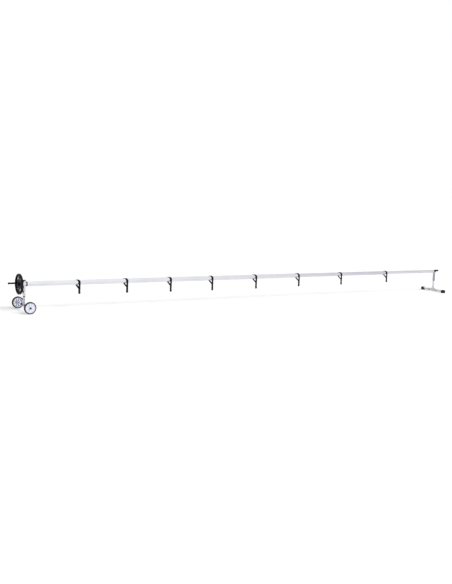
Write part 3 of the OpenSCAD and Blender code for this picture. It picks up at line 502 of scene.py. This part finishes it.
# %% Replace the eight plain straps
WEBBING = 2 * MM
WEB_WIDTH = 30 * MM
SEAT = 0.2 * MM
JOIN_DEPTH = 90 * MM
SKEW = 40 * MM
BOX_WIDTH, BOX_HEIGHT, BOX_GAP = 0.76 * WEB_WIDTH, 0.8 * WEB_WIDTH, 6 * MM
strap_length = {}
for number in range(1, 9):
    name = f"strap_{number}"
    body, pads = ("reel", "outer_strap_pads") if number <= 6 else ("middle_section", "middle_strap_pads")
    inner = extent(pads).y / 2 + SEAT / 2
    low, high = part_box(name)
    tail = AXIS_Z - low.z - JOIN_DEPTH
    path, length = strap_path(inner, JOIN_DEPTH, tail, SKEW, WEBBING)
    bow = (0.9 if number % 2 else -0.7) * MM
    place_x = high.x - WEB_WIDTH / 2 - WEBBING * SKEW / (2 * inner)
    bm = webbing_band(place_x, path, length, WEB_WIDTH, bow, JOIN_DEPTH, tail)
    band = finish_mesh(bm, f"{name}_webbing", body, webbing)
    # A little thinner than its room, so that the two layers that hang together don't touch
    thick = band.modifiers.new("cloth", "SOLIDIFY")
    thick.thickness, thick.offset = 0.92 * WEBBING, 0
    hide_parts(name)
    # The sewn box lies a little below the meeting of the runs, on the front face of the front one
    box = Vector((place_x, -inner - WEBBING, AXIS_Z - JOIN_DEPTH - BOX_GAP - BOX_HEIGHT / 2))
    stitches = sewn_box(box, BOX_WIDTH, BOX_HEIGHT)
    sewing = finish_mesh(stitches, f"{name}_stitching", body, thread)
    strap_length[name] = round(length / MM)
print("flat lengths in mm:", strap_length)

# %% [markdown]
# ## Welds
#
# The posts are welded to their cross tubes, and a weld shows as a rippled bead round the joint. A
# small circle spun about the smaller tube's axis gives a ring. The ring then has to follow the larger
# tube: where the way across it is x and its radius R, its surface lies at the square root of R squared
# minus x squared. Pushing each vertex out by that much saddles the ring over it. The ripples are the
# puddles that the welder laid one after another, about 4 mm apart.

# %% Run beads round the joints
def weld_bead(centre, small, large, along, across, radius, puddle):
    """A bead where a tube of radius small, along one direction, meets one of radius large across it.

    radius is the bead's own, and puddle the distance between its ripples.
    """
    bm = bmesh.new()
    section = Matrix.Translation((small, 0, 0)) @ Matrix.Rotation(math.pi / 2, 4, "X")
    bmesh.ops.create_circle(bm, segments=8, radius=radius, matrix=section)
    bmesh.ops.spin(bm, geom=bm.verts[:] + bm.edges[:], cent=(0, 0, 0), axis=(0, 0, 1), angle=2 * math.pi,
                   steps=160, use_merge=True)
    ripples = round(2 * math.pi * small / puddle)
    for vert in bm.verts:
        turn = math.atan2(vert.co.y, vert.co.x)
        ring = small * Vector((math.cos(turn), math.sin(turn), 0))
        vert.co = ring + (vert.co - ring) * (1 + 0.12 * math.sin(ripples * turn))
        vert.co.z += math.sqrt(large ** 2 - ring.x ** 2)
    place = Matrix((across.cross(along), across, along)).transposed().to_4x4()
    bmesh.ops.transform(bm, matrix=Matrix.Translation(centre) @ place, verts=bm.verts)
    bmesh.ops.recalc_face_normals(bm, faces=bm.faces)
    return bm


Y_AXIS, Z_AXIS = Vector((0, 1, 0)), Vector((0, 0, 1))
PUDDLE, FOOT_BEAD, AXLE_BEAD = 4 * MM, 2 * MM, 1.6 * MM
post_r, tee_r, axle_r = (extent(name).x / 2 for name in ("post_lower", "foot_tee", "axle_tube"))
bar, axle = middle("foot_bar"), middle("axle_tube")
for name, body, slot, finish, joint in (
    ("foot", "foot_stand", "silver_paint", silver_paint,
     (bar, post_r, tee_r, Z_AXIS, Y_AXIS, FOOT_BEAD)),
    ("front_axle", "wheel_stand", "zinc_steel", post_zinc,
     (axle, axle_r, post_r, -Y_AXIS, Z_AXIS, AXLE_BEAD)),
    ("rear_axle", "wheel_stand", "zinc_steel", post_zinc,
     (axle, axle_r, post_r, Y_AXIS, Z_AXIS, AXLE_BEAD)),
):
    finish_mesh(weld_bead(*joint, PUDDLE), f"{name}_weld", body, finish)

# %% [markdown]
# ## Floor and light
#
# The roller is lit as in a plain studio: a pale floor, a white world and one broad soft lamp high on
# the right, in front. The floor and the world look white because of their colour for camera rays,
# not because of more light on the object. The floor also glows in reflections, most by the handwheel
# and fading to nothing towards the foot stand: that glow is a painted reflection, which lightens the
# underside of the near tubes. As a light and in reflections the world is darker on the left, as if a
# black flag stood there, which gives the posts and wheels a shaded side. In reflections the right
# side is darker too, which makes the roller greyer towards the foot stand, and so is the wall behind
# it, which draws a thin line along the top of the tubes. The lamp is hidden from reflections, so that
# the metal shows the soft studio and no hard streak.

# %% Lay the floor
FLOOR_REACH = 150
FLOOR_GLOW = 0.26


def floor_finish():
    """Matt white. Its glow reaches the camera; in reflections the glow is a painted reflection that fades
    along X.
    """
    material, tree, shader = new_finish("matt white floor", Roughness=0.9, Specular_IOR_Level=0.0)
    shader.inputs["Base Color"].default_value = linear("f2f2f3")
    ray = node(tree, "ShaderNodeLightPath")
    place = node(tree, "ShaderNodeTexCoord").outputs["Object"]
    along = node(tree, "ShaderNodeSeparateXYZ", {"Vector": place}).outputs["X"]
    # Painted reflection: in reflections the floor gets part of its glow, most at low X and none from X =
    # 4 m on
    fade = node(tree, "ShaderNodeMapRange", {
        "Value": along, "From Min": -4.0, "From Max": 4.0, "To Min": 0.35, "To Max": 0.0,
    }).outputs["Result"]
    mirrored = node(tree, "ShaderNodeMath", {
        0: ray.outputs["Is Glossy Ray"], 1: fade,
    }, operation="MULTIPLY").outputs[0]
    seen = node(tree, "ShaderNodeMath", {
        0: ray.outputs["Is Camera Ray"], 1: mirrored,
    }, operation="MAXIMUM").outputs[0]
    glow = node(tree, "ShaderNodeEmission", {"Color": (1, 1, 1, 1), "Strength": FLOOR_GLOW})
    added = node(tree, "ShaderNodeAddShader", {0: shader.outputs["BSDF"], 1: glow.outputs["Emission"]})
    mixed = node(tree, "ShaderNodeMixShader", {
        "Fac": seen, 1: shader.outputs["BSDF"], 2: added.outputs["Shader"],
    })
    output = next(n for n in tree.nodes if n.type == "OUTPUT_MATERIAL")
    tree.links.new(mixed.outputs["Shader"], output.inputs["Surface"])
    return material


bm = bmesh.new()
bmesh.ops.create_grid(bm, x_segments=1, y_segments=1, size=FLOOR_REACH)
mesh = bpy.data.meshes.new("floor")
bm.to_mesh(mesh)
bm.free()
floor = bpy.data.objects.new("floor", mesh)
bpy.context.scene.collection.objects.link(floor)
mesh.materials.append(floor_finish())

# %% Light the studio
def studio_world():
    """White to the camera; as a light and in reflections it is graded from left to right."""
    world = bpy.data.worlds.new("studio")
    world.use_nodes = True
    tree = world.node_tree
    tree.nodes.clear()
    ray = node(tree, "ShaderNodeLightPath")
    direction = node(tree, "ShaderNodeTexCoord").outputs["Generated"]
    toward = node(tree, "ShaderNodeSeparateXYZ", {"Vector": direction}).outputs
    # Each gradient runs over one component of the direction, between two places and two strengths
    lit, flag, far_end, wall = (
        node(tree, "ShaderNodeMapRange", {
            "Value": toward[axis], "From Min": start, "From Max": end, "To Min": low, "To Max": high,
        }).outputs["Result"]
        for axis, start, end, low, high in (
            ("X", -1.0, 1.0, 0.2, 0.9), ("X", -0.9, -0.25, 0.05, 1.0), ("X", 0.35, 0.8, 1.0, 0.58),
            ("Y", 0.3, 0.9, 1.0, 0.86),
        )
    )
    far_wall = node(tree, "ShaderNodeMath", {0: far_end, 1: wall}, operation="MULTIPLY").outputs[0]
    mirrored = node(tree, "ShaderNodeMath", {0: flag, 1: far_wall}, operation="MINIMUM").outputs[0]
    light, mirror, white = (
        node(tree, "ShaderNodeBackground", {
            "Color": (1, 1, 1, 1), "Strength": strength,
        }).outputs["Background"]
        for strength in (lit, mirrored, 1.0)
    )
    seen = node(tree, "ShaderNodeMath", {
        0: ray.outputs["Is Camera Ray"], 1: ray.outputs["Is Transmission Ray"],
    }, operation="MAXIMUM").outputs[0]
    unseen = node(tree, "ShaderNodeMixShader", {
        "Fac": ray.outputs["Is Glossy Ray"], 1: light, 2: mirror,
    }).outputs["Shader"]
    both = node(tree, "ShaderNodeMixShader", {"Fac": seen, 1: unseen, 2: white}).outputs["Shader"]
    node(tree, "ShaderNodeOutputWorld", {"Surface": both})
    return world


bpy.context.scene.world = studio_world()
KEY_DIRECTION = Vector((-0.35, 0.75, -0.75))
key = bpy.data.lights.new("key", "SUN")
key.energy = 1.6
key.angle = math.radians(28)
key_lamp = bpy.data.objects.new("key", key)
key_lamp.rotation_mode = "QUATERNION"
key_lamp.rotation_quaternion = KEY_DIRECTION.to_track_quat("-Z", "Y")
key_lamp.visible_glossy = False
bpy.context.scene.collection.objects.link(key_lamp)
bpy.context.scene.view_settings.view_transform = "Standard"
